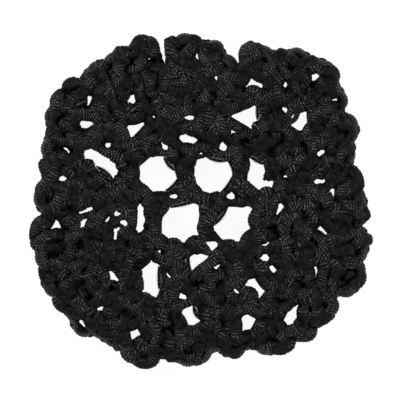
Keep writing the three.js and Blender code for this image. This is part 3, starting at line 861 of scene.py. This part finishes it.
# %% Chains for all bars of a layer
STITCH = 6.4  # millimetres along the bar from one stitch to the next
DEPTH = 1.15  # how far the yarn rises and dips
DEPTHS = (0.85, 1.1)  # shares of it between which chains differ
LIFTS = (-0.3, 0.3)  # how much lower or higher a chain may lie
COVER = 0.85  # share of the ribbon's half width that it covers when it turns
BULGE = 0.35  # how far the crest of a loop may stand into an opening
BULGE_ROOM = (1.4, 2.2)  # the room at which that starts and at which it is full
FULL_ROOM, SLIMMEST = 1.9, 0.35  # room that a full ribbon needs, and the least share of its width
SWING_LIMITS = (0.1, 2.5)
SHORT_BAR = 2.0  # bars shorter than this vanish in their knots
LEAST_ROOM = 0.5  # an opening nearer than this to the rim or the edge reaches it
EDGE_MARGIN = 2.6  # bars that run out to the edge end this far inside it
draw = np.random.default_rng(7)


def bar_paths(net):
    """The smooth paths of all bars long enough for a chain, centred between their openings. A bar on the rim
    or the edge gives way to an opening that reaches it."""
    paths = []
    for line, sides in net["bars"]:
        if lengths_along(line)[-1] <= SHORT_BAR:
            continue
        path = smooth_path(line)
        between_two = all(side in net["rows"] for side in sides)
        if between_two:
            path = centred(path, *(net["rows"][side] for side in sides))
        path = path[reach_of(EDGE, path) - np.hypot(*path.T) > EDGE_MARGIN]
        room = clear_of(path, net["clear"])
        if between_two or room.min() > LEAST_ROOM:
            paths.append((path, room))
    return paths


def slimmed(room, full=FULL_ROOM):
    """The share of its full width that a ribbon has in some clear room."""
    return np.clip(room / full, SLIMMEST, 1)


def chains(net, height_of):
    """A chain along every bar, with its middle: as wide as its clear room allows, and swung until its edge
    meets the openings on both sides. Chance gives its phase, depth and height."""
    strips = []
    for path, room in bar_paths(net):
        phase, depth, lift = draw.uniform(0, 2 * np.pi), DEPTH * draw.uniform(*DEPTHS), draw.uniform(*LIFTS)
        width = slimmed(room)
        bulge = BULGE * np.interp(room, BULGE_ROOM, (0, 1))
        reach = np.clip(room - COVER * RIBBON["half_width"] * width + bulge, *SWING_LIMITS)
        left = level(-right_of(np.gradient(path, axis=0)))
        points, facing, loose, width = stitched(level(path), left, UP, reach, width, STITCH, depth, phase)
        points[:, 2] += height_of(points[:, :2]) + lift
        strips.append((path[len(path) // 2], ribbon(points, facing, loose, width)))
    return strips


crown_strips = chains(crown, crown_height)
print(len(crown_strips), "chains in the crown")

# %% [markdown]
# ## Loops over the knots
#
# Where chains meet, the yarn piles up in loops above the layer. Following it through every knot would take
# a path for each, so a short arched loop lies over every knot and every bar's middle, turned by chance.

# %% A loop laid on a layer
WAY = np.linspace(-1, 1, SIDE_SAMPLES)  # from one end of a loop to the other


def laid(flat, rise, width, height_of, lean=(0.0, 0.0)):
    """A loop of ribbon over points (x, y), raised from the layer, leaning aside, loosest in its middle."""
    facing = level(np.broadcast_to(lean, flat.shape), 1.0)
    width = np.broadcast_to(width, len(flat))
    return ribbon(level(flat, height_of(flat) + rise), facing, 1 - WAY ** 2, width)


# %% Loops over knots and bars
LOBE_GAP = 4.0  # least distance between two of them
LOBE_ROOM = 1.6  # least clear space for one
LOBE_LENGTH = (1.5, 3.3) # half their length
LOBE_WIDTH = (0.88, 1.04)  # as a share of what the room allows
LOBE_BEND = (0.6, 1.8)  # how far the ends bend sideways
LOBE_MIDDLE = 0.35  # how far its middle lies back, as a share of the bend
LOBE_TOP, LOBE_FOOT = (0.9, 1.7), 0.9  # how far it arches above the layer, and how deep its ends go
LOBE_ROUNDNESS = 2.6  # a higher power keeps the arch flat for longer
LOBE_LEAN = 0.8  # how far it faces along the loop at its ends
LOBE_TURN = (0.3, 1.0)  # radians between a bar and the loop over its middle


def lobe(place, ahead, room, height_of):
    """A short loop over one place. From -1 to 1 along it, it bends sideways with the square of the way and
    arches from below the layer to well above it."""
    sideways = np.array([-ahead[1], ahead[0]]) * draw.choice([-1, 1])
    width = slimmed(room) * draw.uniform(*LOBE_WIDTH)
    most_bend = (room + BULGE - RIBBON["half_width"] * width) / (1 - LOBE_MIDDLE)
    bend = min(draw.uniform(*LOBE_BEND) * width, most_bend) * (WAY ** 2 - LOBE_MIDDLE)
    flat = place + np.outer(WAY * np.clip(room, *LOBE_LENGTH), ahead) + np.outer(bend, sideways)
    rise = (draw.uniform(*LOBE_TOP) + LOBE_FOOT) * (1 - np.abs(WAY) ** LOBE_ROUNDNESS) - LOBE_FOOT
    return place, laid(flat, rise, width, height_of, LOBE_LEAN * np.outer(WAY, ahead))


def lobes(net, height_of):
    """A loop over every knot, turned at random, and over the middle of every bar, turned from the bar."""
    places = [(knot, draw.uniform(0, np.pi)) for knot in net["knots"]]
    for path, _ in bar_paths(net):
        middle = len(path) // 2
        along_bar = path[min(middle + 2, len(path) - 1)] - path[middle - 2]
        turn = np.arctan2(*along_bar[::-1]) + draw.choice([-1, 1]) * draw.uniform(*LOBE_TURN)
        places.append((path[middle], turn))
    strips, placed = [], np.empty((0, 2))
    for place, turn in places:
        room = float(clear_of(place, net["clear"]))
        if room > LOBE_ROOM and (np.linalg.norm(placed - place, axis=1) > LOBE_GAP).all():
            placed = np.vstack([placed, place])
            strips.append(lobe(place, np.array([np.cos(turn), np.sin(turn)]), room, height_of))
    return strips


crown_strips += lobes(crown, crown_height)
print(len(crown_strips), "chains and loops in the crown")

# %% [markdown]
# ## Loops below the eyelets
#
# Loose loops of yarn close the eyelets of the real crown. Smaller eyelets would flatten the net, so a
# nearly straight length of ribbon lies under each.

# %% Loops that close the eyelets
CLOSER = {"half_length": 3.0, "drop": 1.9, "arch": 0.8}  # its ends curve up by the arch

for place in crown_eyelets[:, :2]:
    turn = draw.uniform(0, np.pi)
    flat = place + np.outer(WAY * CLOSER["half_length"], (np.cos(turn), np.sin(turn)))
    rise = CLOSER["arch"] * WAY ** 2 - CLOSER["drop"]
    crown_strips.append((place, laid(flat, rise, slimmed(clear_of(flat, kept_open)), crown_height)))
print(len(crown_strips), "strands in the crown")

# %% [markdown]
# ## Loops round the large openings
#
# Loops of yarn bulge into a large opening and meet in sharp corners, which chains alone would round off. So
# a loop of ribbon lies along each side with its edge on the charted line, and its ends go down under its
# neighbours.

# %% Loops along the sides
SIDE_LOOP = {"overrun": 1.3, "back": 0.15, "lift": (-1.1, 0.5), "arch": 1.0, "lean": 0.4}


def side_loops(number, height_of):
    """The loops of one opening. Each arches with the third power of the way from its middle, and is as wide
    as the other openings let it."""
    strips = []
    others = np.concatenate([*seen_rows[:number], *seen_rows[number + 1:], NOTCH_DISCS])
    for start, end, bow, lace in sides_of(LARGE_OPENINGS[number]):
        line = side_line(start, end, bow - lace * LACE_DEPTH, SIDE_LOOP["overrun"])
        outward = right_of(units(np.gradient(line, axis=0)))
        width = slimmed(clear_of(line, others), 2 * RIBBON["half_width"])
        flat = line + (SIDE_LOOP["back"] + half_wide(width, 1 - WAY ** 2))[:, None] * outward
        rise = draw.uniform(*SIDE_LOOP["lift"]) - SIDE_LOOP["arch"] * np.abs(WAY) ** 3
        strips.append(laid(flat, rise, width, height_of, -SIDE_LOOP["lean"] * outward))
    return strips


opening_strips = []
for number in range(len(LARGE_OPENINGS)):
    opening_strips += side_loops(number, crown_height)
under_strips = chains(under, under_height) + lobes(under, under_height)
print(len(opening_strips), "loops round openings and", len(under_strips), "strands in the lower layer")

# %% The crown and the turned-under part
CROWN_BANDS = [
    # name, from and to what distance from the middle
    ("crown_centre_rounds", 0, 24), ("crown_inner_rounds", 24, 34), ("crown_outer_rounds", 34, 42),
    ("crown_edge_rounds", 42, 60),
]
UNDER_BANDS = [("under_mouth_rounds", 0, 42), ("under_edge_rounds", 42, 60)]


def rounds(strands, bands):
    """One piece for each band, of the strands whose middles lie in it."""
    return [mesh_piece(name, [strip for middle, strip in strands if low <= np.hypot(*middle) < high])
            for name, low, high in bands]


crown_pieces = rounds(crown_strips, CROWN_BANDS) + [mesh_piece("opening_loops", opening_strips)]
under_pieces = rounds(under_strips, UNDER_BANDS)

# %% [markdown]
# ## Lace at the sides of the openings
#
# At some sides the edge of the ribbon is stretched and its stitches show daylight. Holes in the ribbon
# would need very many faces, so it stays back there, and two threads zigzag across the gap.

# %% Lace threads
# The threads are drawn coarser than the real ones, so that they show in the render.
THREAD = {"radius": 0.22, "pitch": 0.8, "under": 0.4, "drop": 1.0, "rise": 0.4, "around": 5, "steps": 4}
PHASES = (0, 0.5)  # of the two threads, in zigzags
PLAIN = (0.5, 0.0)  # a place in a groove on the ribbon's map, between the rows of painted glints, where the yarn is dark


def tube(points, tangent, radius, around):
    """A round tube along a line: a circle across its way at each point."""
    side = units(np.cross(tangent, (0, 0, 1)))
    angle = 2 * np.pi * np.arange(around)[:, None] / around
    circle = np.cos(angle) * side[:, None] + np.sin(angle) * np.cross(side, tangent)[:, None]
    return points[:, None] + radius * circle


def lace_thread(start, end, bow, phase):
    """A thread along a lacy side that zigzags from under the yarn to the edge of the opening."""
    steps = np.arange(int(THREAD["steps"] * np.linalg.norm(end - start) / THREAD["pitch"]) + 1)
    zigzag = 1 - np.abs((steps / THREAD["steps"] + phase) % 1 * 2 - 1)
    share, samples = steps / steps[-1] * (SIDE_SAMPLES - 1), np.arange(SIDE_SAMPLES)
    yarn = read_off(share, samples, side_line(start, end, bow - LACE_DEPTH - THREAD["under"]))
    clear = read_off(share, samples, side_line(start, end, bow))
    flat = yarn + zigzag[:, None] * (clear - yarn)
    points = level(flat, crown_height(flat) - THREAD["drop"] + THREAD["rise"] * zigzag)
    grid = tube(points, units(np.gradient(points, axis=0)), THREAD["radius"], THREAD["around"])
    return grid, np.broadcast_to(PLAIN, (*grid.shape[:2], 2))


lace_threads = mesh_piece("lace_threads", [
    lace_thread(start, end, bow, phase) for corners in LARGE_OPENINGS
    for start, end, bow, lacy in sides_of(corners) if lacy for phase in PHASES])

# %% [markdown]
# ## The round where the net turns under
#
# The round that joins the two layers stands upright: from the side one sees its stitches face on. The
# chains of the layers could be bent round, but they end at different places. So one upright chain runs
# between the layers, and its ends turn into the notches.

# %% Upright chain along the edge
NOTCH_SIDES = [
    # degrees: first point on the edge, that side of the notch's floor, last point on the edge, its side
    (83.5, 80.5, 98.5, 98.0), (107.0, 107.0, 429.0, 432.0),
]
NOTCH_FLOOR = 41.0  # how far the floor of a notch lies from the middle
TURN = {"inset": 2.4, "reach": 1.5, "depth": 0.7, "stitch": 5.2}


def turn_chain(first, first_floor, last, last_floor):
    """Upright chain stitches along the edge, a point a degree, and into a notch at both ends, half way
    between the two layers and facing outward."""
    direction = polar(np.arange(first, last, 1.0), 1.0)
    line = direction * reach_of(edge_outline(TURN["inset"]), direction)[:, None]
    path = smooth_path(np.vstack([polar(first_floor, NOTCH_FLOOR), line, polar(last_floor, NOTCH_FLOOR)]))
    outward = level(right_of(np.gradient(path, axis=0)))
    middle = (crown_height(path) + under_height(path)) / 2
    return stitched(level(path, middle), UP, outward, TURN["reach"], 1.0, TURN["stitch"], TURN["depth"])


edge_turn = mesh_piece("edge_turn_round", [ribbon(*turn_chain(*sides)) for sides in NOTCH_SIDES])

# %% [markdown]
# ## Rim and elastic
#
# The last round gathers the mouth over an elastic. The gathers pack its stitches close, so it is the same
# chain with shorter, narrower stitches, facing down. The elastic is a plain covered cord on top of it.

# %% The rim round
RIM_HEIGHT = 1.75
RIM_CHAIN = {"reach": 0.8, "width": 0.7, "stitch": 3.7, "depth": 1.0}

rim_middle = rim_line(0.0)
path = evenly(np.vstack([rim_middle, rim_middle[:1]]))
outward = level(right_of(ahead_on_loop(path)))
rim_chain = stitched(level(path, RIM_HEIGHT), outward, (0.0, 0.0, -1.0), closed=True, **RIM_CHAIN)
rim_yarn = mesh_piece("rim_round", [ribbon(*rim_chain)])

# %% The elastic
ELASTIC = {"height": 4.45, "radius": 0.75, "around": 12}

ahead = level(units(ahead_on_loop(rim_middle)))
cord = tube(level(rim_middle, ELASTIC["height"]), ahead, ELASTIC["radius"], ELASTIC["around"])
share_round = np.arange(ELASTIC["around"]) / ELASTIC["around"]
cord_map = np.stack(np.broadcast_arrays(lengths_along(rim_middle)[:, None], share_round), -1)
elastic = mesh_piece("covered_elastic", [(cord, cord_map)], closed=True)

# %% [markdown]
# ## Hand over to the frame
#
# The solids could stay inside, but a net shows what lies in it. So each piece takes the place of the solid
# that it dresses, and rides on the part's one body.

# %% Replace the solids
for pieces, node, slot in [
    (crown_pieces + [edge_turn, lace_threads], "crown_net", "yarn"),
    (under_pieces, "under_net", "yarn"),
    ([rim_yarn], "rim_band", "yarn"),
    ([elastic], "rim_elastic", "elastic"),
]:
    for piece in pieces:
        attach(piece, "root")
        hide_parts(node)
